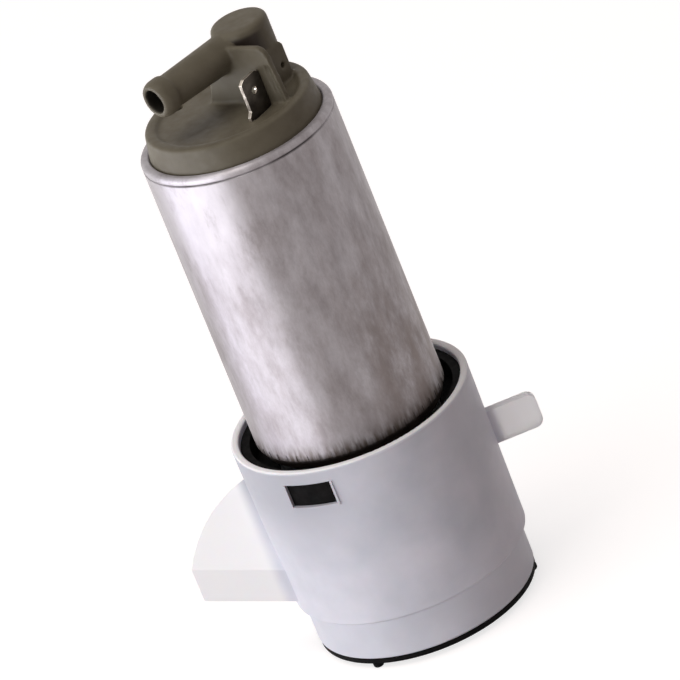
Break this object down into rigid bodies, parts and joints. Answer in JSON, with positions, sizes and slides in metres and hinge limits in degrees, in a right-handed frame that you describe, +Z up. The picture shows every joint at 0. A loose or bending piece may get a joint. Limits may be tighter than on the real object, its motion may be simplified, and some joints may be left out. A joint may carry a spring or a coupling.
{
  "type": "in-tank electric fuel pump",
  "caption": "In-tank electric fuel pump: rolled steel can with a dark plastic outlet cover, side hose nozzle and spade terminal, standing in a white holder cup.",
  "frame": {"origin": "on the pump's axis, in the flat underside of the strainer's hub; the rubber feet reach 1.2 mm below it", "axes": "+Z up the pump's axis towards the outlet cover; +X towards the cup's flat side tab; -Y is the side seen in the picture"},
  "size_m": [0.0823, 0.0538, 0.1412],
  "materials": {
    "nylon_white": "satin",
    "plastic_olive": "satin",
    "plastic_dark": "satin",
    "plastic_natural": "satin",
    "rubber_black": "matt",
    "can_steel": "brushed",
    "shaft_steel": "ground",
    "laminated_steel": "stacked sheet",
    "spring_steel": "drawn wire",
    "casting_aluminium": "cast",
    "terminal_brass": "tinned",
    "copper": "enamelled wire",
    "bronze": "sintered",
    "ferrite": "sintered",
    "carbon": "pressed carbon"
  },
  "bodies": {
    "holder": {"cup_body": "nylon_white", "base_cap": "nylon_white", "base_ring": "rubber_black", "rubber_feet": "rubber_black", "inlet_flap": "rubber_black", "strainer_frame": "nylon_white", "strainer_mesh": "nylon_white", "rubber_mount": "rubber_black"},
    "rotor": {"rotor_shaft": "shaft_steel", "impeller": "plastic_dark", "thrust_washer": "plastic_natural", "armature_core": "laminated_steel", "end_insulators": "plastic_natural", "armature_winding": "copper", "commutator_hub": "plastic_dark", "commutator_segments": "copper"},
    "check_valve": {"check_valve_poppet": "plastic_natural"},
    "relief_valve": {"relief_valve_ball": "shaft_steel"},
    "front_brush": {"front_brush": "carbon"},
    "rear_brush": {"rear_brush": "carbon"},
    "pump": {"can_shell": "can_steel", "pump_inlet_cover": "casting_aluminium", "casing_seal_ring": "rubber_black", "thrust_pad": "plastic_natural", "pump_ring": "casting_aluminium", "pump_upper_plate": "casting_aluminium", "lower_bearing": "bronze", "upper_bearing": "bronze", "flux_ring": "can_steel", "front_magnet": "ferrite", "rear_magnet": "ferrite", "magnet_clips": "spring_steel", "brush_holder": "plastic_natural", "front_brush_spring": "spring_steel", "rear_brush_spring": "spring_steel", "choke_cores": "ferrite", "choke_coils": "copper", "outlet_cover": "plastic_olive", "cover_seal_ring": "rubber_black", "front_terminal": "terminal_brass", "rear_terminal": "terminal_brass", "check_valve_seat": "bronze", "check_valve_spring": "spring_steel", "check_valve_cage": "plastic_natural", "relief_valve_seat": "bronze", "relief_valve_spring": "spring_steel"}
  },
  "joints": [
    {"name": "pump_lift", "type": "slide", "parent": "holder", "child": "pump", "axis": [0, 0, 1], "range_m": [0, 0.03]},
    {"name": "rotor_spin", "type": "hinge", "parent": "pump", "child": "rotor", "pos_m": [0, 0, 0.084], "axis": [0, 0, 1], "continuous": true},
    {"name": "check_valve_lift", "type": "slide", "parent": "pump", "child": "check_valve", "axis": [0, 0, 1], "range_m": [0, 0.0015], "stiffness_N_per_m": 60, "springref_m": -0.002, "deforming": ["check_valve_spring"]},
    {"name": "relief_valve_lift", "type": "slide", "parent": "pump", "child": "relief_valve", "axis": [0, 0, 1], "range_m": [0, 0.001], "stiffness_N_per_m": 400, "springref_m": -0.002, "deforming": ["relief_valve_spring"]},
    {"name": "front_brush_lift", "type": "slide", "parent": "pump", "child": "front_brush", "axis": [0, 0, 1], "range_m": [0, 0.003], "stiffness_N_per_m": 150, "springref_m": -0.004, "deforming": ["front_brush_spring"]},
    {"name": "rear_brush_lift", "type": "slide", "parent": "pump", "child": "rear_brush", "axis": [0, 0, 1], "range_m": [0, 0.003], "stiffness_N_per_m": 150, "springref_m": -0.004, "deforming": ["rear_brush_spring"]}
  ]
}
